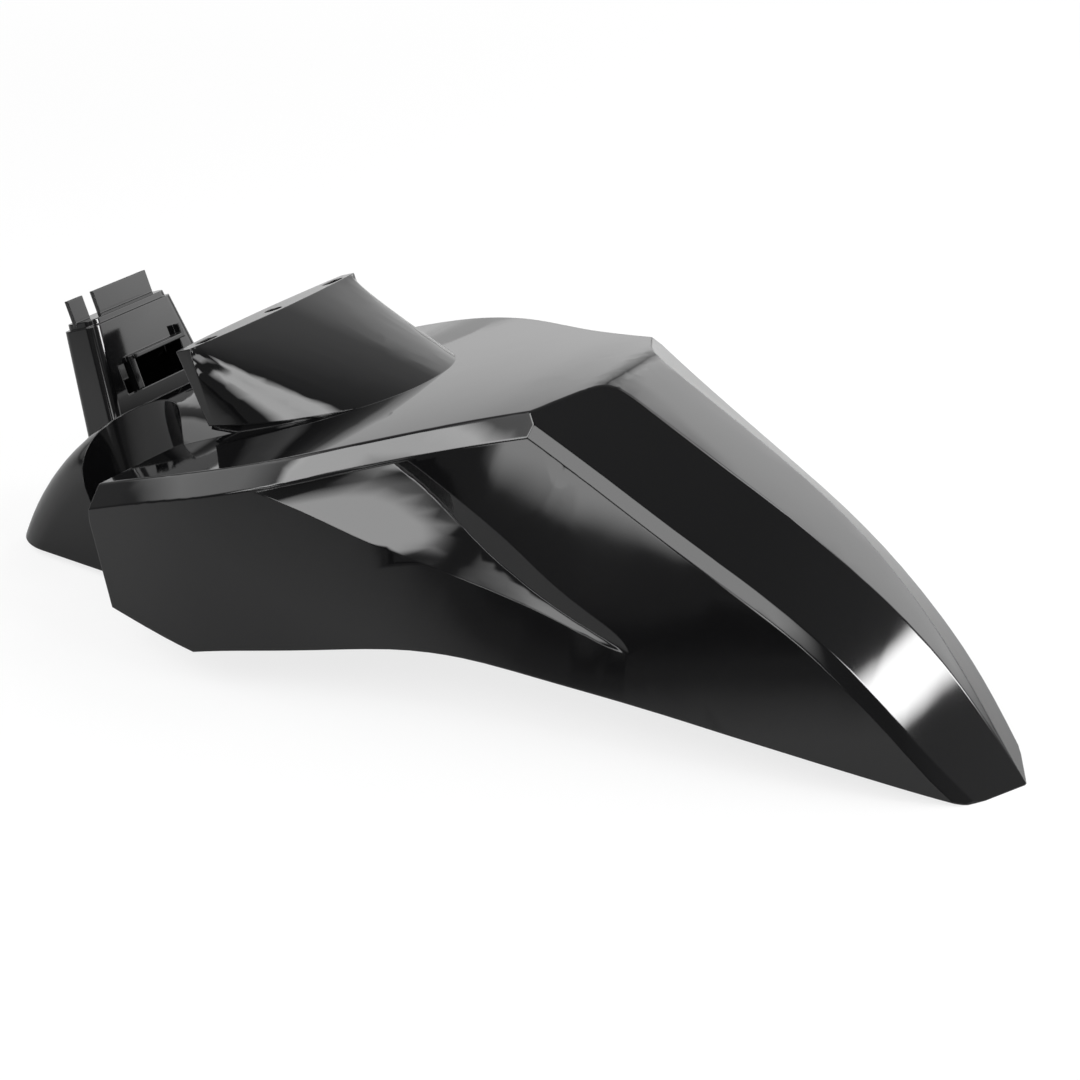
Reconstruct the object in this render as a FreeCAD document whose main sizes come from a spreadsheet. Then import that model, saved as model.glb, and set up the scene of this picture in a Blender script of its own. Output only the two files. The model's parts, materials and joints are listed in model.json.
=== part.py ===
import FreeCAD, Part
import math
import os

from FreeCAD import Vector

os.makedirs("parts", exist_ok=True)
doc = FreeCAD.newDocument("fender")

# Sizes in millimetres and degrees: X runs forward from the mounting strip, Y to the left, Z up from the floor
SIZES = {
    "wall": 2.8,
    "floor": 4.0,
    "deck_height": 130.1,
    "deck_angle": 15.8,
    "deck_crown": 2.0,
    "rear_droop": 3.5,
    "rear_reach": 12.0,
    "bevel_width": 9.0,
    "bevel_drop": 10.5,
    "brow_round": 4.0,
    "wing_half": 137.0,
    "shoulder_half": 116.6,
    "brow_half": 88.7,
    "beak_half": 71.0,
    "nose_half": 24.0,
    "half_level": 50.0,
    "wing_draft": 3.0,
    "beak_draft": 15.0,
    "brow_x": 203.0,
    "nose_x": 411.0,
    "tip_reach": 20.0,
    "tip_half": 36.0,
    "brow_rise": 18.5,
    "nose_edge": 9.0,
    "ridge_half": 18.4,
    "facet_fall": 0.68,
    "crease_bevel": 3.4,
    "edge_round": 2.6,
    "scoop_depth": 8.0,
    "rake": 20.0,
    "strip_rise": 17.2,
    "strip_half": 68.0,
    "strip_depth": 17.0,
    "strip_bow": 6.0,
    "tower_rise": 46.8,
    "foot_half": 70.0,
    "foot_length": 94.0,
    "plinth_rise": 6.5,
    "lip_step": 1.6,
    "slot_spacing": 52.0,
    "slot_width": 8.0,
    "slot_length": 14.0,
    "hole_diameter": 10.0,
    "saddle_drop": 20.1,
    "tail_half": 80.0,
    "tail_reach": 140.5,
    "tail_clear": 4.5,
    "tail_round": 24.0,
    "pocket_radius": 44.0,
    "pocket_x": -42.0,
    "pocket_y": 95.0,
    "clip_x": -93.5,
    "clip_half": 32.4,
    "clip_depth": 26.2,
    "clip_height": 58.7,
    "clip_draft": 10.0,
    "clip_corner": 6.0,
    "rim_height": 3.3,
    "rim_step": 1.6,
    "tab_height": 13.0,
    "tab_thick": 2.4,
    "tab_gap": 8.0,
    "ledge_width": 40.0,
    "ledge_reach": 5.0,
    "ledge_drop": 22.0,
    "window_width": 50.0,
    "window_height": 17.0,
    "hook_width": 4.0,
    "hook_reach": 3.0,
}

sheet = doc.addObject("Spreadsheet::Sheet", "sizes")
for row, (name, value) in enumerate(SIZES.items(), start=1):
    sheet.set("A%d" % row, name)
    sheet.set("B%d" % row, str(value))
    sheet.setAlias("B%d" % row, name)
doc.recompute()


def size(name):
    return float(getattr(sheet, name))


class Rail:
    """A smooth line of one value along X: a natural cubic, straight beyond its ends."""

    def __init__(self, points):
        self.x = [p[0] for p in points]
        self.v = [p[1] for p in points]
        n = len(points)
        gap = [self.x[i + 1] - self.x[i] for i in range(n - 1)]
        upper = [0.0] * n
        right = [0.0] * n
        for i in range(1, n - 1):
            rise = (self.v[i + 1] - self.v[i]) / gap[i] - (self.v[i] - self.v[i - 1]) / gap[i - 1]
            pivot = 2.0 * (gap[i - 1] + gap[i]) - gap[i - 1] * upper[i - 1]
            upper[i] = gap[i] / pivot
            right[i] = (6.0 * rise - gap[i - 1] * right[i - 1]) / pivot
        self.bend = [0.0] * n
        for i in range(n - 2, 0, -1):
            self.bend[i] = right[i] - upper[i] * self.bend[i + 1]

    def at(self, x):
        if x <= self.x[0]:
            return self.v[0] + self.slope_at(0) * (x - self.x[0])
        if x >= self.x[-1]:
            return self.v[-1] + self.slope_at(len(self.x) - 1) * (x - self.x[-1])
        i = max(k for k in range(len(self.x) - 1) if self.x[k] <= x)
        g = self.x[i + 1] - self.x[i]
        a = (self.x[i + 1] - x) / g
        b = 1.0 - a
        curve = ((a**3 - a) * self.bend[i] + (b**3 - b) * self.bend[i + 1]) * g * g / 6.0
        return a * self.v[i] + b * self.v[i + 1] + curve

    def slope_at(self, i):
        if i == 0:
            g = self.x[1] - self.x[0]
            return (self.v[1] - self.v[0]) / g - g * self.bend[1] / 6.0
        g = self.x[i] - self.x[i - 1]
        return (self.v[i] - self.v[i - 1]) / g + g * self.bend[i - 1] / 6.0


wall = size("wall")
deck_slope = math.tan(math.radians(size("deck_angle")))
brow_x = size("brow_x")
nose_x = size("nose_x")
beak_length = nose_x - brow_x


def beak_x(share):
    """The X of a place on the beak, as a share of its length from brow to nose."""
    return brow_x + share * beak_length


# Half width of the side wall at the given level, and how much it gains for each millimetre further down
side_half = Rail([
    (-60.0, size("wing_half") - 2.0),
    (-10.0, size("wing_half") - 0.6),
    (40.0, size("wing_half") + 0.5),
    (80.0, 0.745 * size("wing_half") + 0.255 * size("shoulder_half")),
    (120.0, size("shoulder_half")),
    (160.0, 0.42 * size("shoulder_half") + 0.58 * size("brow_half")),
    (brow_x, size("brow_half")),
    (beak_x(0.37), size("beak_half")),
    (beak_x(0.56), 0.78 * size("beak_half") + 0.22 * size("nose_half")),
    (beak_x(0.755), 0.5 * size("beak_half") + 0.5 * size("nose_half")),
    (beak_x(0.91), 0.23 * size("beak_half") + 0.77 * size("nose_half")),
    (nose_x, size("nose_half")),
])


def draft(share):
    turn = size("wing_draft") + share * (size("beak_draft") - size("wing_draft"))
    return math.tan(math.radians(turn))


side_draft = Rail([
    (-60.0, draft(0.0)),
    (-10.0, draft(0.0)),
    (40.0, draft(0.08)),
    (80.0, draft(0.3)),
    (120.0, draft(0.58)),
    (160.0, draft(0.82)),
    (brow_x, draft(1.0)),
    (beak_x(0.47), draft(1.0)),
    (beak_x(0.755), draft(0.95)),
    (nose_x, draft(0.85)),
])


def side_y(x, z):
    """The face of the left side wall."""
    return side_half.at(x) + side_draft.at(x) * (size("half_level") - z)


# Height of the outer crease of the beak
brow_edge = size("deck_height") + size("brow_rise")
edge_fall = brow_edge - size("nose_edge")
edge_height = Rail([
    (brow_x, brow_edge),
    (beak_x(0.37), brow_edge - 0.295 * edge_fall),
    (beak_x(0.755), brow_edge - 0.647 * edge_fall),
    (nose_x, size("nose_edge")),
])

# Steepness of the two facets across, and the half width of the panel between their ridges
facet_fall = Rail([
    (brow_x, 0.8 * size("facet_fall")),
    (beak_x(0.47), size("facet_fall")),
    (nose_x, 0.97 * size("facet_fall")),
])
ridge_half = Rail([
    (beak_x(0.1), size("ridge_half")),
    (beak_x(0.28), 0.97 * size("ridge_half")),
    (beak_x(0.47), 0.88 * size("ridge_half")),
    (beak_x(0.66), 0.68 * size("ridge_half")),
    (beak_x(0.85), 0.34 * size("ridge_half")),
    (nose_x, 0.1 * size("ridge_half")),
    (nose_x + 18.0, 0.0),
])


def crease_half(x):
    return side_y(x, edge_height.at(x))


def deck_line(x):
    """Height of the middle of the deck, straight but for a slight droop at the rear."""
    behind = max(0.0, 60.0 - x) / (60.0 + size("rear_reach"))
    return size("deck_height") + deck_slope * (x - 100.0) - size("rear_droop") * behind**2


def panel_line(x):
    """Height of the panel between the ridges, carried straight on behind its start."""
    start = beak_x(0.1)
    if x < start:
        return panel_line(start) + (panel_line(start + 1.0) - panel_line(start)) * (x - start)
    return edge_height.at(x) + facet_fall.at(x) * (crease_half(x) - ridge_half.at(x))


def top_height(x):
    """The deck runs up to the brow and turns there, in a soft bend, into the panel between the ridges."""
    deck = deck_line(x)
    panel = panel_line(x)
    return 0.5 * (deck + panel - math.hypot(deck - panel, size("brow_round")))


def gradient(line, x):
    return line(x + 0.5) - line(x - 0.5)


def side_set(x, inset):
    """How far across the side wall has to move to go in by the given depth."""
    return inset * math.sqrt(1.0 + gradient(side_half.at, x) ** 2 + side_draft.at(x) ** 2)


def body_section(x, inset):
    """One closed cross-section of deck, bevel and side walls, set in by the wall for the inside."""
    lean = math.hypot(1.0, gradient(top_height, x))
    z_mid = top_height(x) - inset * lean
    z_edge = z_mid - size("deck_crown")
    z_side = z_edge - size("bevel_drop") + 0.3 * inset
    y_side = side_y(x, z_side) - side_set(x, inset)
    y_edge = y_side - size("bevel_width") + 0.45 * inset
    low = -90.0
    y_low = side_y(x, low) - side_set(x, inset)
    crown = Part.BezierCurve()
    crown.setPoles([
        Vector(x, y_edge, z_edge),
        Vector(x, 0.0, z_mid + size("deck_crown")),
        Vector(x, -y_edge, z_edge),
    ])
    corners = [
        Vector(x, -y_edge, z_edge),
        Vector(x, -y_side, z_side),
        Vector(x, -y_low, low),
        Vector(x, y_low, low),
        Vector(x, y_side, z_side),
        Vector(x, y_edge, z_edge),
    ]
    lines = [Part.makeLine(a, b) for a, b in zip(corners[:-1], corners[1:])]
    return Part.Wire([crown.toShape()] + lines)


def body(inset):
    places = [-70.0, -30.0, 10.0, 50.0, 90.0, 125.0, 155.0, 180.0]
    shares = (0.02, 0.07, 0.115, 0.17, 0.25, 0.38, 0.52, 0.66, 0.8, 0.9, 1.0, 1.12)
    places += [beak_x(share) for share in shares]
    return Part.makeLoft([body_section(x, inset) for x in places], True, False)


def roof_wire(x, z_mid, fall):
    reach = 170.0
    z_out = z_mid - fall * reach
    return Part.makePolygon([
        Vector(x, -reach, z_out),
        Vector(x, 0.0, z_mid),
        Vector(x, reach, z_out),
        Vector(x, reach, 620.0),
        Vector(x, -reach, 620.0),
        Vector(x, -reach, z_out),
    ])


BEAK_SHARES = (-0.3, -0.14, 0.0, 0.14, 0.28, 0.42, 0.56, 0.7, 0.82, 0.92, 1.0, 1.13)


def roof(inset):
    """All that lies above the two facets of the beak."""
    wires = []
    for x in [beak_x(share) for share in BEAK_SHARES]:
        fall = facet_fall.at(x)
        z_mid = edge_height.at(x) + fall * crease_half(x)
        lean = math.sqrt(1.0 + fall**2 + gradient(edge_height.at, x) ** 2)
        wires.append(roof_wire(x, z_mid - inset * lean, fall))
    return Part.makeLoft(wires, True, False)


def crease_cut(inset):
    """All that lies above the narrow bevel along the outer crease of the beak."""
    wires = []
    width = size("crease_bevel")
    for x in [beak_x(share) for share in BEAK_SHARES]:
        fall = facet_fall.at(x)
        steep = math.tan(0.5 * (math.atan(fall) + math.pi / 2.0 - math.atan(side_draft.at(x))))
        z_mid = edge_height.at(x) + fall * width + steep * (crease_half(x) - width)
        lean = math.sqrt(1.0 + steep**2 + gradient(edge_height.at, x) ** 2)
        wires.append(roof_wire(x, z_mid - inset * lean, steep))
    return Part.makeLoft(wires, True, False)


def side_point(x, drop, deep):
    """A point of the left side wall, so far below the line of its upper edge and set in from its face."""
    z = deck_line(x) - size("deck_crown") - size("bevel_drop") - drop
    return Vector(x, side_y(x, z) - side_set(x, deep), z)


def scoop(inset):
    """The wedge that leaves the long scoop in the left side wall: a sloping facet that ends at a step."""
    rows = [
        ((86.0, 1.4), (139.0, 1.4), (150.0, 1.4), 1.0),
        ((120.0, 25.0), (161.0, 23.8), (165.0, 16.0), 0.8),
        ((151.0, 46.6), (179.0, 43.7), (186.0, 36.0), 0.62),
        ((194.0, 70.0), (202.0, 65.0), (211.0, 60.0), 0.4),
        ((225.0, 87.0), (229.0, 86.0), (238.0, 84.0), 0.22),
        ((254.0, 104.3), (256.0, 104.0), (260.0, 103.0), 0.08),
    ]
    out = Vector(0.0, 25.0, 0.0)
    wires = []
    for low, mid, high, share in rows:
        deep = share * size("scoop_depth")
        d = side_point(mid[0], mid[1], deep + inset)
        a = side_point(low[0], low[1], inset)
        b = side_point(high[0], high[1], inset)
        a = d + (a - d) * 1.2
        b = d + (b - d) * 1.4
        wires.append(Part.makePolygon([a, d, b, b + out, a + out, a]))
    a = side_point(275.0, 118.3, inset - 2.5)
    b = side_point(280.0, 118.0, inset - 2.5)
    wires.append(Part.makePolygon([a, (a + b) * 0.5, b, b + out, a + out, a]))
    return Part.makeLoft(wires, True, False)


def both_sides(shape):
    return [shape, shape.mirror(Vector(0.0, 0.0, 0.0), Vector(0.0, 1.0, 0.0))]


def prism(wire, along):
    return Part.Face(wire).extrude(along)


def spline(points):
    curve = Part.BSplineCurve()
    curve.interpolate(points)
    return curve


def shell_block(inset):
    return body(inset).cut(roof(inset)).cut(crease_cut(inset)).cut(both_sides(scoop(inset)))


def turn(shape, edge, place):
    """The angle in degrees by which the surface turns at an edge."""
    normals = []
    for face in shape.ancestorsOfType(edge, Part.Face):
        u, v = face.Surface.parameter(place)
        normals.append(face.normalAt(u, v))
    return math.degrees(normals[0].getAngle(normals[-1]))


def rounded(shape):
    """Rounds the long edges of the shell: the deck's bevel, ridges, creases and the step of the scoop."""
    chosen = []
    for edge in shape.Edges:
        place = edge.valueAt(0.5 * (edge.FirstParameter + edge.LastParameter))
        kept = -size("rear_reach") < place.x < nose_x and place.z > size("floor")
        if kept and edge.Length > 5.0 and 18.0 < turn(shape, edge, place) < 55.0:
            chosen.append(edge)
    return shape.makeFillet(size("edge_round"), chosen)


def side_outline():
    """The side view that the deck, wings and beak are trimmed to."""
    floor = size("floor")
    rear = -size("rear_reach")
    low = [
        (54.0, floor + 19.5),
        (80.0, floor + 26.0),
        (119.0, floor + 31.6),
        (155.0, floor + 35.6),
        (189.0, floor + 35.9),
        (beak_x(0.1), floor + 33.0),
        (beak_x(0.33), floor + 28.3),
        (beak_x(0.725), floor + 15.5),
        (beak_x(0.95), floor + 4.9),
        (nose_x + 4.0, floor),
    ]
    rim = [Vector(x, -200.0, z) for x, z in low]
    corners = [
        rim[-1],
        Vector(600.0, -200.0, floor),
        Vector(600.0, -200.0, 320.0),
        Vector(rear, -200.0, 320.0),
        Vector(rear, -200.0, floor + 72.0),
        Vector(rear + 12.5, -200.0, floor + 28.3),
        rim[0],
    ]
    lines = [Part.makeLine(a, b) for a, b in zip(corners[:-1], corners[1:])]
    return prism(Part.Wire([spline(rim).toShape()] + lines), Vector(0.0, 400.0, 0.0))


# Half of the rounded nose, as shares of tip_reach and tip_half
NOSE_SHAPE = (
    (-1.25, 1.67),
    (-0.65, 1.33),
    (-0.1, 1.03),
    (0.22, 0.82),
    (0.55, 0.555),
    (0.93, 0.18),
    (1.0, 0.0),
)


def plan_outline():
    """The plan that the deck is trimmed to, with a rounded nose and the rear notches for the fork legs."""
    low = -60.0
    nose = [Vector(nose_x + a * size("tip_reach"), b * size("tip_half"), low) for a, b in NOSE_SHAPE]
    nose += [Vector(p.x, -p.y, low) for p in reversed(nose[:-1])]
    rear = -size("rear_reach")
    half = [(nose[0].x, 220.0), (rear, 220.0), (rear, size("wing_half") - 11.0), (0.0, 58.0), (6.0, 20.0)]
    corners = [nose[0]] + [Vector(x, y, low) for x, y in half]
    corners += [Vector(p.x, -p.y, low) for p in reversed(corners)]
    lines = [Part.makeLine(a, b) for a, b in zip(corners[:-1], corners[1:])]
    return prism(Part.Wire([spline(nose).toShape()] + lines), Vector(0.0, 0.0, 400.0))


rake_turn = FreeCAD.Rotation(Vector(0.0, 1.0, 0.0), -size("rake"))


def tilt(shape, base):
    """Puts a shape made upright at the given point, leaning back with the fork."""
    shape.Placement = FreeCAD.Placement(base, rake_turn)
    return shape


strip_base = Vector(0.0, 0.0, size("deck_height") + size("strip_rise"))
saddle_height = size("deck_height") - size("saddle_drop")


def tower_wire(rear, bow, outline, height, lean):
    """A flat outline of the tower: a curve in front, straight ends and a bowed rear; it may slope."""

    def point(u, v):
        return Vector(u, v, height - lean * u)

    front = [point(u, v) for u, v in outline]
    front += [point(u, -v) for u, v in reversed(outline[:-1])]
    curve = Part.BSplineCurve()
    curve.interpolate(Points=front, Parameters=[float(i) for i in range(len(front))])
    half = outline[0][1]
    left = point(rear, half)
    right = point(rear, -half)
    back = spline([
        right,
        point(rear - 0.75 * bow, -0.5 * half),
        point(rear - bow, 0.0),
        point(rear - 0.75 * bow, 0.5 * half),
        left,
    ])
    return Part.Wire([
        curve.toShape(),
        Part.makeLine(front[-1], right),
        back.toShape(),
        Part.makeLine(left, front[0]),
    ])


def strip_wire(inset, height):
    half = size("strip_half") - inset
    depth = size("strip_depth")
    outline = []
    for across in (1.0, 0.93, 0.816, 0.48, 0.0):
        outline.append((0.1 * depth + 0.4 * depth * (1.0 - across**2) - inset, across * half))
    return tower_wire(inset - 0.45 * depth, size("strip_bow"), outline, height, 0.0)


# Half of the front of the tower's foot, as shares of foot_length and foot_half
FOOT_SHAPE = ((0.04, 1.0), (0.42, 0.905), (0.73, 0.693), (0.94, 0.35), (1.0, 0.0))


def foot_wire(inset, height):
    half = size("foot_half") - inset
    rear = inset - 1.0
    reach = size("foot_length") - 2.0 * inset
    outline = [(rear + along * reach, across * half) for along, across in FOOT_SHAPE]
    return tower_wire(rear, 0.0, outline, height, 0.125)


def tower(inset):
    """The wedge tower between the fork legs, from its stepped foot on the deck up to the mounting strip."""
    lip = size("plinth_rise") - size("tower_rise")
    step = size("lip_step")
    if inset:
        wires = [foot_wire(inset + step, lip - 45.0), strip_wire(inset, -inset)]
        return tilt(Part.makeLoft(wires, True, True), strip_base)
    skin = Part.makeLoft([foot_wire(0.0, lip), strip_wire(0.0, 0.0)], True, True)
    plinth = Part.makeLoft([foot_wire(step, lip - 40.0), foot_wire(step, lip)], True, True)
    return tilt(skin.fuse(plinth), strip_base)


def tangent_arcs(start, heading, points, inset):
    """Arcs from point to point, each along the heading that the last one ended with, then set in."""
    arcs = []
    for end in points:
        chord = end - start
        bend = heading.getAngle(chord)
        side = (heading - chord * (heading.dot(chord) / chord.dot(chord))).normalize()
        crest = start + chord * 0.5 + side * (0.5 * chord.Length * math.tan(0.5 * bend))
        radius = 0.5 * chord.Length / math.sin(bend)
        centre = crest - side * radius
        set_in = (radius - inset) / radius
        places = [centre + (p - centre) * set_in for p in (start, crest, end)]
        arcs.append(Part.Arc(*places).toShape())
        heading = chord * (2.0 * math.cos(bend) / chord.Length) - heading
        start = end
    return arcs


# Ends of the three arcs of the tail: share of tail_reach, and drop below the saddle
TAIL_SHAPE = ((0.4, 15.5), (0.77, 59.0), (1.06, 134.0))


def arch(inset):
    """The saddle between the fork legs and the tail behind the wheel, as a block with rounded shoulders."""
    reach = size("tail_reach")
    half = size("tail_half") - inset
    top = saddle_height + 2.0
    turns = [Vector(-back * reach, -half, top - drop) for back, drop in TAIL_SHAPE]
    arcs = tangent_arcs(Vector(0.0, -half, top), Vector(-1.0, 0.0, 0.0), turns, inset)
    end = arcs[-1].valueAt(arcs[-1].LastParameter)
    front = 0.27 * reach
    low = -40.0
    corners = [
        end,
        Vector(end.x, -half, low),
        Vector(front, -half, low),
        Vector(front, -half, top - inset),
        Vector(0.0, -half, top - inset),
    ]
    lines = [Part.makeLine(a, b) for a, b in zip(corners[:-1], corners[1:])]
    block = prism(Part.Wire(Part.__sortEdges__(arcs + lines)), Vector(0.0, 2.0 * half, 0.0))
    shoulders = [
        e for e in block.Edges
        if abs(e.tangentAt(e.FirstParameter).y) < 0.5
        and (e.Curve.TypeId == "Part::GeomCircle" or min(v.Z for v in e.Vertexes) > top - inset - 0.1)
    ]
    block = block.makeFillet(size("tail_round") - inset, shoulders)
    along = rake_turn.multVec(Vector(0.0, 0.0, 1.0))
    for side in (1.0, -1.0):
        foot = Vector(size("pocket_x"), side * size("pocket_y"), saddle_height - 10.0) - along * 200.0
        block = block.cut(Part.makeCylinder(size("pocket_radius") + inset, 400.0, foot, along))
    return block


clip_base = Vector(size("clip_x"), 0.0, saddle_height - 42.5)


def clip_block(half, depth, low, high, inset):
    """A box with rounded uprights that widens towards its foot, between two heights of the clip tower."""
    ends = []
    for height in (low, high):
        fall = (size("clip_height") - height) / size("clip_height")
        ends.append((0.5 * depth - inset + fall, half - inset + size("clip_draft") * fall))
    (u_low, v_low), (u_high, v_high) = ends
    box = Part.makeWedge(-u_low, low, -v_low, -v_high, -u_high, u_low, high, v_low, v_high, u_high)
    box.rotate(Vector(0.0, 0.0, 0.0), Vector(1.0, 0.0, 0.0), 90.0)
    uprights = [e for e in box.Edges if abs(e.tangentAt(e.FirstParameter).z) > 0.7]
    return box.makeFillet(size("clip_corner") - 0.8 * inset, uprights)


def clip_tower(inset):
    """The clip tower on the tail: a leaning box that widens towards its foot, with a stepped rim."""
    half = size("clip_half")
    depth = size("clip_depth")
    step = size("rim_step")
    tall = size("clip_height")
    box = clip_block(half, depth, -40.0, tall - inset, inset)
    rim = clip_block(half - step, depth - 2.0 * step, tall - 12.0, tall + size("rim_height") - inset, inset)
    return tilt(box.fuse(rim), clip_base)


def feature(name, shape):
    made = doc.addObject("Part::Feature", name)
    made.Shape = shape
    return made


def block(name, sizes, base, corner):
    """A plain box in the leaning frame of a tower; its three sizes are expressions on the sheet."""
    box = doc.addObject("Part::Box", name)
    for side, expression in zip(("Length", "Width", "Height"), sizes):
        box.setExpression(side, expression)
    box.Placement = FreeCAD.Placement(base + rake_turn.multVec(corner), rake_turn)
    return box


def bore(name, radius, depth, base, centre):
    cylinder = doc.addObject("Part::Cylinder", name)
    cylinder.setExpression("Radius", radius)
    cylinder.setExpression("Height", depth)
    cylinder.Placement = FreeCAD.Placement(base + rake_turn.multVec(centre), rake_turn)
    return cylinder


# Deck, wings and beak
inner = shell_block(wall)
outer = rounded(shell_block(0.0))
flange_low = size("floor") + 50.0
flange = Part.makeBox(wall, 20.0, 60.0, Vector(-size("rear_reach"), size("wing_half") - 14.0, flange_low))
skin = outer.cut(inner).fuse([outer.common(side) for side in both_sides(flange)])
skin = skin.common(side_outline()).common(plan_outline())

# Wedge tower, saddle with tail, and clip tower, each a thin wall open below
tower_in = tower(wall)
arch_in = arch(wall)
clip_in = clip_tower(wall)
under_deck = inner.common(plan_outline())
room = Part.makeBox(500.0, 400.0, 300.0, Vector(-300.0, -200.0, size("floor") + size("tail_clear")))
saddle = arch(0.0).cut(arch_in).common(room)
pieces = [
    feature("deck_and_beak", skin.cut(tower_in)),
    feature("wedge_tower", tower(0.0).cut(tower_in).cut(under_deck)),
    feature("saddle_and_tail", saddle.cut(under_deck).cut(tower_in).cut(clip_in)),
    feature("clip_tower", clip_tower(0.0).cut(clip_in).cut(arch_in)),
]

# Upright tabs on the clip tower, with a gap between them, and the ledge with its stop and hook on the front
half = size("clip_half")
rim_top = size("clip_height") + size("rim_height")
tab_u = -0.04 * size("clip_depth") - size("tab_thick")
small = 0.2 * 2.0 * half
pieces.append(block(
    "small_tab",
    ("sizes.tab_thick", "0.4 * sizes.clip_half - sizes.rim_step", "sizes.tab_height + 2"),
    clip_base,
    Vector(tab_u, size("rim_step") - half, rim_top - 2.0),
))
pieces.append(block(
    "large_tab",
    ("sizes.tab_thick", "1.6 * sizes.clip_half - sizes.tab_gap - sizes.rim_step", "sizes.tab_height + 2"),
    clip_base,
    Vector(tab_u, small + size("tab_gap") - half, rim_top - 2.0),
))
ledge_u = 0.5 * size("clip_depth") - 0.5
ledge_v = -0.36 * size("ledge_width")
ledge_w = size("clip_height") - size("ledge_drop") - 2.5
pieces.append(block(
    "ledge",
    ("sizes.ledge_reach + 0.5", "sizes.ledge_width", "2.5"),
    clip_base,
    Vector(ledge_u, ledge_v, ledge_w),
))
pieces.append(block(
    "ledge_stop",
    ("sizes.ledge_reach + 0.5", "2.5", "8"),
    clip_base,
    Vector(ledge_u, ledge_v + size("ledge_width") - 2.5, ledge_w),
))
hook_v = ledge_v - size("hook_width")
hook_w = ledge_w - size("window_height")
pieces.append(block(
    "hook",
    ("sizes.wall + sizes.hook_reach", "sizes.hook_width", "sizes.window_height + 2.5"),
    clip_base,
    Vector(0.5 * size("clip_depth") - wall + 0.4, hook_v, hook_w),
))

shell = doc.addObject("Part::MultiFuse", "shell")
shell.Shapes = pieces

# Slots and centre hole of the mounting strip
cut_low = -1.5 * wall
cut_deep = "2 * sizes.wall"
cutters = [bore("centre_hole", "sizes.hole_diameter / 2", cut_deep, strip_base, Vector(0.0, 0.0, cut_low))]
for side, word in ((1.0, "left"), (-1.0, "right")):
    centre = side * size("slot_spacing")
    run = size("slot_length") - size("slot_width")
    cutters.append(block(
        word + "_slot",
        ("sizes.slot_width", "sizes.slot_length - sizes.slot_width", cut_deep),
        strip_base,
        Vector(-1.0 - size("slot_width") / 2.0, centre - run / 2.0, cut_low),
    ))
    for end, place in ((0.5, "outer"), (-0.5, "inner")):
        cutters.append(bore(
            "%s_slot_%s_end" % (word, place),
            "sizes.slot_width / 2",
            cut_deep,
            strip_base,
            Vector(-1.0, centre + end * side * run, cut_low),
        ))

# Window in the front of the clip tower, on both sides of the hook
window_w = ledge_w - size("window_height") - 0.5
window_u = 0.5 * size("clip_depth") - 3.0 * wall
cutters.append(block(
    "wide_window",
    ("5 * sizes.wall", "0.5 * sizes.window_width + 0.36 * sizes.ledge_width", "sizes.window_height"),
    clip_base,
    Vector(window_u, ledge_v, window_w),
))
narrow = "0.5 * sizes.window_width - 0.36 * sizes.ledge_width - sizes.hook_width"
cutters.append(block(
    "narrow_window",
    ("5 * sizes.wall", narrow, "sizes.window_height"),
    clip_base,
    Vector(window_u, -0.5 * size("window_width"), window_w),
))
tools = doc.addObject("Part::MultiFuse", "slots")
tools.Shapes = cutters

fender = doc.addObject("Part::Cut", "front_fender")
fender.Label = "front_fender"
fender.Base = shell
fender.Tool = tools
doc.recompute()

# The origin is the middle of the underside of the box round the part
surface = fender.Shape.tessellate(0.2)[0]
middle = 0.5 * (min(p.x for p in surface) + max(p.x for p in surface))
fender.Placement = FreeCAD.Placement(Vector(-middle, 0.0, -min(p.z for p in surface)), FreeCAD.Rotation())

for item in doc.Objects:
    if "Invalid" in item.State or "Error" in item.State:
        raise RuntimeError(item.Name + " did not build")
    shape = getattr(item, "Shape", None)
    if shape is not None and (shape.isNull() or not shape.isValid()):
        raise RuntimeError(item.Name + " has no sound shape")
if len(fender.Shape.Solids) != 1:
    raise RuntimeError("front_fender is not one solid")

fender.Shape.exportStep("parts/front_fender.step")
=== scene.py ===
import json
import math

import bmesh
import bpy
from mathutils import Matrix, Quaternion, Vector, kdtree

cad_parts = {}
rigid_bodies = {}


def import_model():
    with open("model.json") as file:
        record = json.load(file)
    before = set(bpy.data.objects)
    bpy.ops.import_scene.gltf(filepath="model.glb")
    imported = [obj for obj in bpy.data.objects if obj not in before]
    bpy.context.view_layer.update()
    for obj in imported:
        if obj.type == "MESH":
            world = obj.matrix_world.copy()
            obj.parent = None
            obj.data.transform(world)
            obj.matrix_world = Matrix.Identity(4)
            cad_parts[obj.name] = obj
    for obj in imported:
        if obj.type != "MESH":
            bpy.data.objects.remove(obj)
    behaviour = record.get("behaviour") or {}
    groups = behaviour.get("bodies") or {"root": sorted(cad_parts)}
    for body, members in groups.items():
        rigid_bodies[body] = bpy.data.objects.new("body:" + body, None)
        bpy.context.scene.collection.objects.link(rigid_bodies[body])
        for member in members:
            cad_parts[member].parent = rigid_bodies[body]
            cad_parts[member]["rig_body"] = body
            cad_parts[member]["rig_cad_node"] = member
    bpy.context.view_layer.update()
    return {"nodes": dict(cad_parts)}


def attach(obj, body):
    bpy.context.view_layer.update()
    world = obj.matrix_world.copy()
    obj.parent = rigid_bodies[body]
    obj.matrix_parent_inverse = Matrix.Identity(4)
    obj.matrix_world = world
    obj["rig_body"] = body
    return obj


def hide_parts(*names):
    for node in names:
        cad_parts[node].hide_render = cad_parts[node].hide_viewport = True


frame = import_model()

bl_info = {
    "name": "Scooter front fender",
    "version": (1, 0, 0),
    "blender": (4, 5, 0),
    "location": "View3D > Sidebar > Fender",
    "description": "Dresses a moulded gloss black scooter front fender and sets it on a plain stage",
    "category": "Object",
}

BLACK = (0.0, 0.0, 0.0, 1.0)
WHITE = (1.0, 1.0, 1.0, 1.0)


# Shader maths


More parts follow.
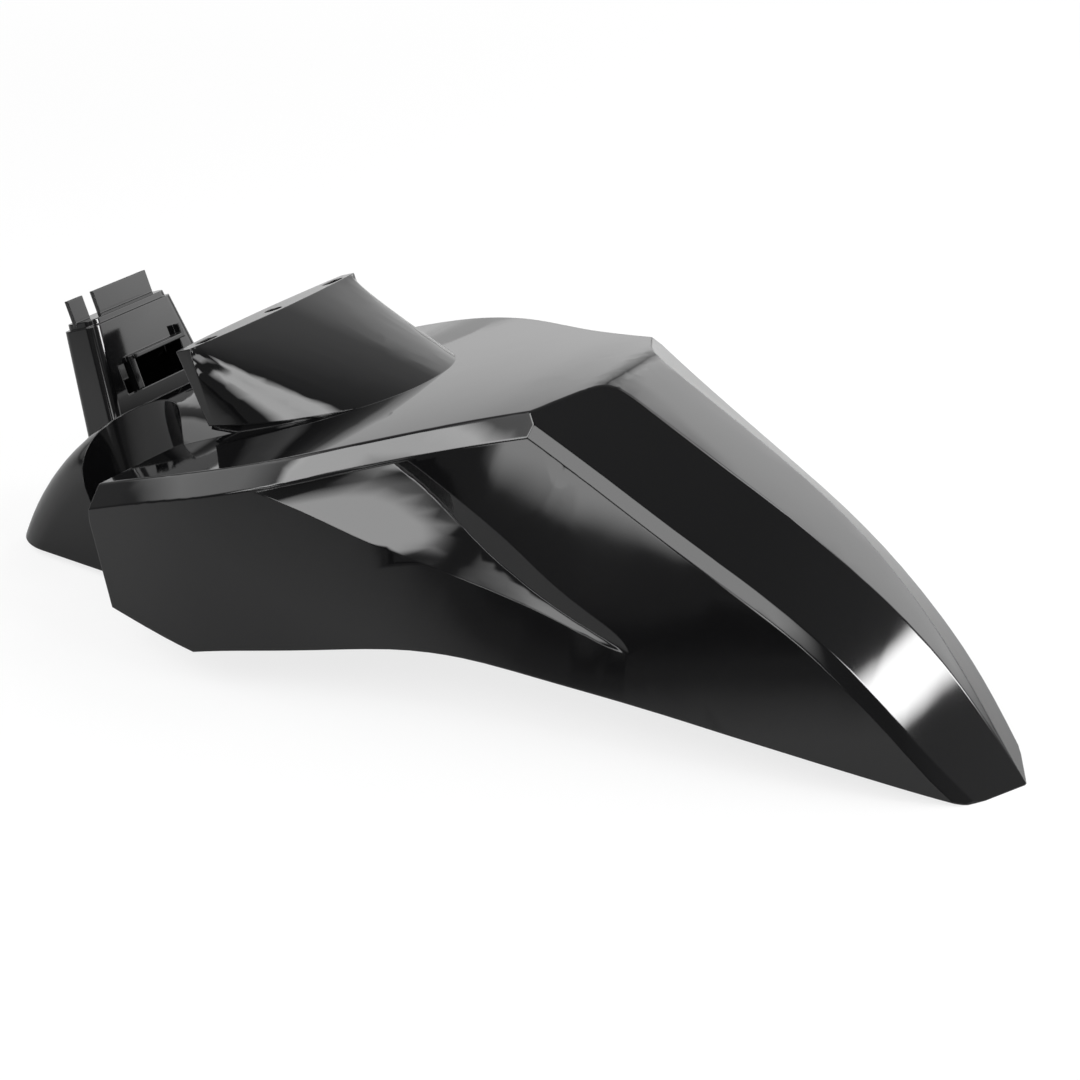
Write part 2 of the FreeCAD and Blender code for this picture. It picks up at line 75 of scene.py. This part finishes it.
class Socket:
    """Wraps a shader socket, so that an expression on values adds its own Math nodes."""

    def __init__(self, tree, socket=None):
        self.tree = tree
        self.socket = socket

    def node(self, kind, settings=None, output=0, fill=(), **inputs):
        """Adds a node, sets it up first, then fills its sockets in order and by name with values or links."""
        made = self.tree.nodes.new(kind)
        for name, value in (settings or {}).items():
            setattr(made, name, value)
        for entry, value in zip(made.inputs, fill):
            place(self.tree, entry, value)
        for name, value in inputs.items():
            place(self.tree, named_input(made, name), value)
        return Socket(self.tree, made.outputs[output] if made.outputs else None)

    def maths(self, operation, first, second):
        return self.node("ShaderNodeMath", {"operation": operation}, fill=(first, second))

    def ramp(self, low, high, first, last):
        """Runs from first to last while this value goes from low to high, and is level outside them."""
        return self.node(
            "ShaderNodeMapRange", value=self, from_min=low, from_max=high, to_min=first, to_max=last)

    def mixed(self, factor, first, second):
        """One shader where the factor is 0, the other where it is 1."""
        return self.node("ShaderNodeMixShader", fill=(factor, first, second))

    def __add__(self, other):
        return self.maths("ADD", self, other)

    __radd__ = __add__

    def __mul__(self, other):
        return self.maths("MULTIPLY", self, other)

    __rmul__ = __mul__

    def __sub__(self, other):
        return self.maths("SUBTRACT", self, other)

    def __rsub__(self, other):
        return self.maths("SUBTRACT", other, self)

    def __gt__(self, other):
        return self.maths("GREATER_THAN", self, other)


def named_input(node, name):
    """An input of a node, from its name in lower case with underscores."""
    for entry in node.inputs:
        if entry.enabled and entry.name.lower().replace(" ", "_") == name:
            return entry
    raise ValueError("%s has no input %s" % (node.bl_idname, name))


def place(tree, entry, value):
    if isinstance(value, Socket):
        tree.links.new(value.socket, entry)
    else:
        entry.default_value = value


def empty_nodes(owner):
    """Clears the nodes of a material, lamp or world and gives a socket to build new ones from."""
    owner.use_nodes = True
    owner.node_tree.nodes.clear()
    return Socket(owner.node_tree)


# Sizes and colours that a user would change


class FenderFinish(bpy.types.PropertyGroup):
    colour: bpy.props.FloatVectorProperty(
        name="Colour", description="Colour of the moulded plastic", subtype="COLOR", size=3,
        min=0.0, max=1.0, default=(0.0035, 0.0035, 0.0038))
    gloss: bpy.props.FloatProperty(
        name="Roughness", description="Roughness of the clean polished skin",
        min=0.0, max=1.0, default=0.035)
    haze: bpy.props.FloatProperty(
        name="Haze", description="Roughness added where the skin has been wiped",
        min=0.0, max=1.0, default=0.05)
    edge_round: bpy.props.FloatProperty(
        name="Edge rounding", description="Radius that the shading rounds sharp edges to", unit="LENGTH",
        min=0.0, max=0.01, default=0.0009)
    ripple: bpy.props.FloatProperty(
        name="Ripple", description="Height of the slight waviness of the moulded skin", unit="LENGTH",
        min=0.0, max=0.001, default=0.00002)


class FenderStage(bpy.types.PropertyGroup):
    floor_colour: bpy.props.FloatVectorProperty(
        name="Floor", description="Colour of the floor that takes the shadow", subtype="COLOR", size=3,
        min=0.0, max=1.0, default=(0.86, 0.86, 0.86))
    surround: bpy.props.FloatProperty(
        name="Surround", description="Strength of the light from all round", min=0.0, default=0.55)
    target: bpy.props.FloatVectorProperty(
        name="Target", description="Point that the camera looks at", subtype="TRANSLATION", size=3,
        default=(0.02056, 0.0, 0.05283))
    azimuth: bpy.props.FloatProperty(
        name="Azimuth", description="Turn of the camera from the right side of the part towards its nose",
        subtype="ANGLE", default=math.radians(32.62))
    elevation: bpy.props.FloatProperty(
        name="Elevation", description="Height of the camera above the level", subtype="ANGLE",
        default=math.radians(27.02))
    distance: bpy.props.FloatProperty(
        name="Distance", description="Distance of the camera from the target", unit="LENGTH",
        default=1.01649)
    lens: bpy.props.FloatProperty(
        name="Lens", description="Focal length of the camera", unit="CAMERA", default=66.667)


# Patterns on the plastic: how fine each one is, per metre, and the levels at which it starts and is full
WIPE_SCALE = 9.0
WIPE_LEVELS = (0.42, 0.75)
GRAIN_SCALE = 240.0
SWELL_SCALE = 38.0
SPECK_SCALE = 42.0
SPECK_LEVELS = (0.02, 0.035)
SPECK_FIELD_SCALE = 26.0
SPECK_FIELD_LEVEL = 0.66

# What grain and dust add to the roughness, and how dust colours the plastic
GRAIN_ROUGHNESS = 0.01
DUST_ROUGHNESS = 0.4
DUST_COVER = 0.5
DUST_COLOUR = (0.3, 0.3, 0.3, 1.0)
PLASTIC_IOR = 1.58
BEVEL_SAMPLES = 8


def gloss_black(finish):
    """Near black polished plastic, a little wavy, with wipe haze and a few specks of dust."""
    material = bpy.data.materials.new("gloss_black_plastic")
    start = empty_nodes(material)
    where = start.node("ShaderNodeTexCoord", output="Object")

    def noise(scale, detail, roughness):
        return start.node(
            "ShaderNodeTexNoise", vector=where, scale=scale, detail=detail, roughness=roughness)

    wipes = noise(WIPE_SCALE, 3.0, 0.5)
    grain = noise(GRAIN_SCALE, 2.0, 0.6)
    swell = noise(SWELL_SCALE, 1.0, 0.4)
    field = noise(SPECK_FIELD_SCALE, 0.0, 0.5)
    specks = start.node("ShaderNodeTexVoronoi", {"feature": "F1"}, vector=where, scale=SPECK_SCALE)
    dust = specks.ramp(*SPECK_LEVELS, 1.0, 0.0) * (field > SPECK_FIELD_LEVEL)
    haze = wipes.ramp(*WIPE_LEVELS, 0.0, 1.0)
    rough = finish.gloss + haze * finish.haze + grain * GRAIN_ROUGHNESS + dust * DUST_ROUGHNESS
    # A Mix node set to colours gives them at its third output
    shade = start.node(
        "ShaderNodeMix", {"data_type": "RGBA"}, output=2, factor=dust * DUST_COVER,
        a=(*finish.colour, 1.0), b=DUST_COLOUR)
    rounded = start.node("ShaderNodeBevel", {"samples": BEVEL_SAMPLES}, radius=finish.edge_round)
    bumped = start.node(
        "ShaderNodeBump", strength=1.0, distance=finish.ripple, height=swell, normal=rounded)
    skin = start.node(
        "ShaderNodeBsdfPrincipled", base_color=shade, roughness=rough, normal=bumped, ior=PLASTIC_IOR)
    start.node("ShaderNodeOutputMaterial", surface=skin)
    return material


# Points of the solid nearer than this are one point of the skin
JOIN_DISTANCE = 0.00001

# A seam is a crease past this turn, or where the facets of a curve would stray further than this from it
FOLD_TURN = math.radians(32.0)
FOLD_STRAY = 0.00004

# Share of wide facets against narrow ones in the normals where they meet, 50 being even
NORMAL_WEIGHT = 50


def is_fold(edge):
    """Tells a crease of the skin from a seam that lies in a smooth curve."""
    turn = edge.calc_face_angle(math.pi)
    root = edge.verts[0].co
    along = (edge.verts[1].co - root).normalized()
    widths = []
    for loop in edge.link_loops:
        arm = loop.link_loop_prev.vert.co - root
        widths.append((arm - along * arm.dot(along)).length)
    # The middle of a facet is this far from an arc that turns so much over its width
    stray = min(widths) * turn / 8.0
    return turn > FOLD_TURN or stray > FOLD_STRAY


def seams(solid, shape):
    """The edges of the joined skin where two faces of the solid meet: there its mesh is not joined."""
    shape.verts.ensure_lookup_table()
    points = kdtree.KDTree(len(shape.verts))
    for vert in shape.verts:
        points.insert(vert.co, vert.index)
    points.balance()
    loose = bmesh.new()
    loose.from_mesh(solid.data)
    found = set()
    for border in loose.edges:
        if border.is_boundary:
            ends = {shape.verts[points.find(vert.co)[1]] for vert in border.verts}
            edge = shape.edges.get(ends) if len(ends) == 2 else None
            if edge:
                found.add(edge)
    loose.free()
    return found


class FENDER_OT_skin(bpy.types.Operator):
    """Makes the visible skin of the fender from its solid and gives it the gloss black finish"""

    bl_idname = "fender.skin"
    bl_label = "Fender skin"

    def execute(self, context):
        solid = frame["nodes"]["front_fender"]
        bpy.ops.object.select_all(action="DESELECT")
        solid.select_set(True)
        context.view_layer.objects.active = solid
        bpy.ops.object.duplicate()
        skin = context.view_layer.objects.active
        if skin is solid:
            raise RuntimeError("the solid was not copied")
        skin.name = "fender_skin"
        skin.data.name = "fender_skin"

        bpy.ops.object.mode_set(mode="EDIT")
        bpy.ops.mesh.select_all(action="SELECT")
        bpy.ops.mesh.remove_doubles(threshold=JOIN_DISTANCE)
        bpy.ops.mesh.customdata_custom_splitnormals_clear()
        bpy.ops.mesh.faces_shade_smooth()
        bpy.ops.mesh.select_mode(type="EDGE")
        bpy.ops.mesh.select_all(action="DESELECT")
        shape = bmesh.from_edit_mesh(skin.data)
        for edge in seams(solid, shape):
            edge.select_set(is_fold(edge))
        bmesh.update_edit_mesh(skin.data)
        bpy.ops.mesh.mark_sharp()
        bpy.ops.object.mode_set(mode="OBJECT")

        even = skin.modifiers.new("even_normals", "WEIGHTED_NORMAL")
        even.mode = "FACE_AREA_WITH_ANGLE"
        even.weight = NORMAL_WEIGHT
        even.keep_sharp = True
        bpy.ops.object.modifier_apply(modifier=even.name)

        skin.data.materials.clear()
        skin.data.materials.append(gloss_black(context.scene.fender_finish))
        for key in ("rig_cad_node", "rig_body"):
            if key in skin:
                del skin[key]
        skin.parent = None
        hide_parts("front_fender")
        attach(skin, "root")
        return {"FINISHED"}


# Softboxes round the part: azimuth and elevation in degrees, width and height in metres, roll, radiance
SOFTBOXES = (
    ("far_panel", 73.0, 26.0, 2.6, 1.6, 0.0, 2.7),
    ("far_left_panel", 128.0, 14.0, 1.8, 1.5, 0.0, 0.6),
    ("left_panel", -148.0, 41.0, 2.2, 1.6, 0.0, 2.0),
    ("tall_strip", -103.0, 45.0, 0.42, 2.7, 0.0, 6.4),
    ("near_panel", -65.0, 40.0, 1.4, 1.1, 0.0, 3.8),
    ("near_box", -70.0, 11.0, 0.5, 0.66, 0.0, 5.4),
    ("side_box", -90.0, 7.0, 0.4, 0.3, 0.0, 3.6),
    ("nose_strip", 6.0, 29.0, 1.5, 0.26, -32.0, 20.0),
    ("ridge_strip", 46.0, 56.0, 0.7, 1.0, 0.0, 5.4),
)
LAMP_DISTANCE = 2.0
AIM = Vector((0.0, 0.0, 0.08))

# Product of the distances from a lamp's two edges, its width being 1, from which it is at full strength
LAMP_FULL = 0.17

# Floor as the camera sees it: share of plain white near the part and far off, and where it changes
FLOOR_SIZE = 30.0
SHADOW_REACH = (0.6, 1.8)
FLOOR_WHITE = (0.78, 1.0)

# Floor as reflections see it: painted shade and light, so that it gets paler away from the near side, over
# two stretches
NEAR_SHADE_STRETCH = (-1.1, -0.35)
NEAR_SHADE_LEVELS = (0.08, 0.42)
FAR_LIGHT_STRETCH = (0.1, 1.0)
FAR_LIGHT_LEVELS = (0.0, 0.45)

# Surround as reflections see it: dim on the near side, and dimmer overhead than at the level
SIDE_STRETCH = (-0.5, 0.6)
SIDE_LEVELS = (0.25, 1.0)
RISE_STRETCH = (0.0, 0.9)
RISE_LEVELS = (1.0, 0.6)

SENSOR_WIDTH = 36.0


def direction(azimuth, elevation):
    """The way from the part to a point at these angles, from its nose round towards its left side."""
    level = math.cos(elevation)
    return Vector((math.cos(azimuth) * level, math.sin(azimuth) * level, math.sin(elevation)))


def softbox(name, azimuth, elevation, wide, tall, roll, radiance):
    """A rectangular area lamp that faces the part, as bright as the given radiance, with soft edges."""
    lamp = bpy.data.lights.new(name, "AREA")
    lamp.shape = "RECTANGLE"
    lamp.size = wide
    lamp.size_y = tall
    lamp.energy = radiance * math.pi * wide * tall
    start = empty_nodes(lamp)
    across = start.node("ShaderNodeNewGeometry", output="Parametric")

    def soft_edge(axis):
        along = start.node("ShaderNodeSeparateXYZ", output=axis, vector=across)
        return (along * (1.0 - along)).ramp(0.0, LAMP_FULL, 0.0, 1.0)

    level = soft_edge("X") * soft_edge("Y")
    grey = start.node("ShaderNodeCombineColor", red=level, green=level, blue=level)
    glow = start.node("ShaderNodeEmission", color=grey, strength=1.0)
    start.node("ShaderNodeOutputLight", surface=glow)
    box = bpy.data.objects.new(name, lamp)
    away = direction(math.radians(azimuth), math.radians(elevation))
    box.location = AIM + away * LAMP_DISTANCE
    turn = (-away).to_track_quat("-Z", "Y") @ Quaternion((0.0, 0.0, 1.0), math.radians(roll))
    box.rotation_euler = turn.to_euler()
    box.visible_camera = False
    bpy.context.scene.collection.objects.link(box)


def pale_floor(stage):
    """White with a soft shadow to the camera, and to light and reflections a matt grey sheet with painted
    shade and light, darker on the near side.
    """
    material = bpy.data.materials.new("pale_floor")
    start = empty_nodes(material)
    where = start.node("ShaderNodeTexCoord", output="Object")
    reach = start.node("ShaderNodeVectorMath", {"operation": "LENGTH"}, output="Value", vector=where)
    shaded = start.node("ShaderNodeBsdfDiffuse", color=(*stage.floor_colour, 1.0))
    white = start.node("ShaderNodeEmission", color=WHITE, strength=1.0)
    shown = start.mixed(reach.ramp(*SHADOW_REACH, *FLOOR_WHITE), shaded, white)
    across = start.node("ShaderNodeSeparateXYZ", output="Y", vector=where)
    # Painted shade and light: the sheet that light and reflections see is darker towards the near side and
    # paler towards the far side
    level = across.ramp(*NEAR_SHADE_STRETCH, *NEAR_SHADE_LEVELS) + across.ramp(*FAR_LIGHT_STRETCH, *FAR_LIGHT_LEVELS)
    dark = start.node("ShaderNodeBsdfDiffuse", color=BLACK)
    pale = start.node("ShaderNodeBsdfDiffuse", color=WHITE)
    seen = start.node("ShaderNodeLightPath", output="Is Camera Ray")
    start.node("ShaderNodeOutputMaterial", surface=start.mixed(seen, start.mixed(level, dark, pale), shown))
    return material


def surround(stage):
    """White to the camera; to light and reflections dim on the near side and paler low on the far side."""
    world = bpy.data.worlds.new("surround")
    start = empty_nodes(world)
    where = start.node("ShaderNodeTexCoord", output="Generated")
    far = start.node("ShaderNodeSeparateXYZ", output="Y", vector=where)
    high = start.node("ShaderNodeSeparateXYZ", output="Z", vector=where)
    level = far.ramp(*SIDE_STRETCH, *SIDE_LEVELS) * high.ramp(*RISE_STRETCH, *RISE_LEVELS)
    even = start.node("ShaderNodeBackground", color=WHITE, strength=level * stage.surround)
    white = start.node("ShaderNodeBackground", color=WHITE, strength=1.0)
    seen = start.node("ShaderNodeLightPath", output="Is Camera Ray")
    start.node("ShaderNodeOutputWorld", surface=start.mixed(seen, even, white))
    return world


class FENDER_OT_stage(bpy.types.Operator):
    """Sets the fender on a plain pale floor under soft lamps, with the camera before its right side"""

    bl_idname = "fender.stage"
    bl_label = "Stage"

    def execute(self, context):
        scene = context.scene
        stage = scene.fender_stage
        bpy.ops.object.select_all(action="DESELECT")
        bpy.ops.mesh.primitive_plane_add(size=FLOOR_SIZE, location=(0.0, 0.0, 0.0))
        floor = context.active_object
        floor.name = "floor"
        floor.data.materials.append(pale_floor(stage))

        scene.world = surround(stage)
        for entry in SOFTBOXES:
            softbox(*entry)

        camera = bpy.data.cameras.new("camera")
        camera.sensor_width = SENSOR_WIDTH
        camera.lens = stage.lens
        eye = bpy.data.objects.new("camera", camera)
        # The camera's turn starts at the right side, a quarter turn before the nose
        back = direction(stage.azimuth - math.pi / 2.0, stage.elevation)
        eye.location = Vector(stage.target) + back * stage.distance
        eye.rotation_euler = (-back).to_track_quat("-Z", "Y").to_euler()
        scene.collection.objects.link(eye)
        scene.camera = eye
        scene.view_settings.view_transform = "Standard"
        return {"FINISHED"}


class FENDER_PT_panel(bpy.types.Panel):
    bl_idname = "FENDER_PT_panel"
    bl_label = "Front fender"
    bl_space_type = "VIEW_3D"
    bl_region_type = "UI"
    bl_category = "Fender"

    def draw(self, context):
        for group in (context.scene.fender_finish, context.scene.fender_stage):
            column = self.layout.column()
            for name in group.__annotations__:
                column.prop(group, name)
        self.layout.operator(FENDER_OT_skin.bl_idname)
        self.layout.operator(FENDER_OT_stage.bl_idname)


CLASSES = (FenderFinish, FenderStage, FENDER_OT_skin, FENDER_OT_stage, FENDER_PT_panel)


def register():
    for entry in CLASSES:
        bpy.utils.register_class(entry)
    bpy.types.Scene.fender_finish = bpy.props.PointerProperty(type=FenderFinish)
    bpy.types.Scene.fender_stage = bpy.props.PointerProperty(type=FenderStage)


def unregister():
    del bpy.types.Scene.fender_stage
    del bpy.types.Scene.fender_finish
    for entry in reversed(CLASSES):
        bpy.utils.unregister_class(entry)


def main():
    register()
    bpy.ops.fender.skin()
    bpy.ops.fender.stage()


if __name__ == "__main__":
    main()
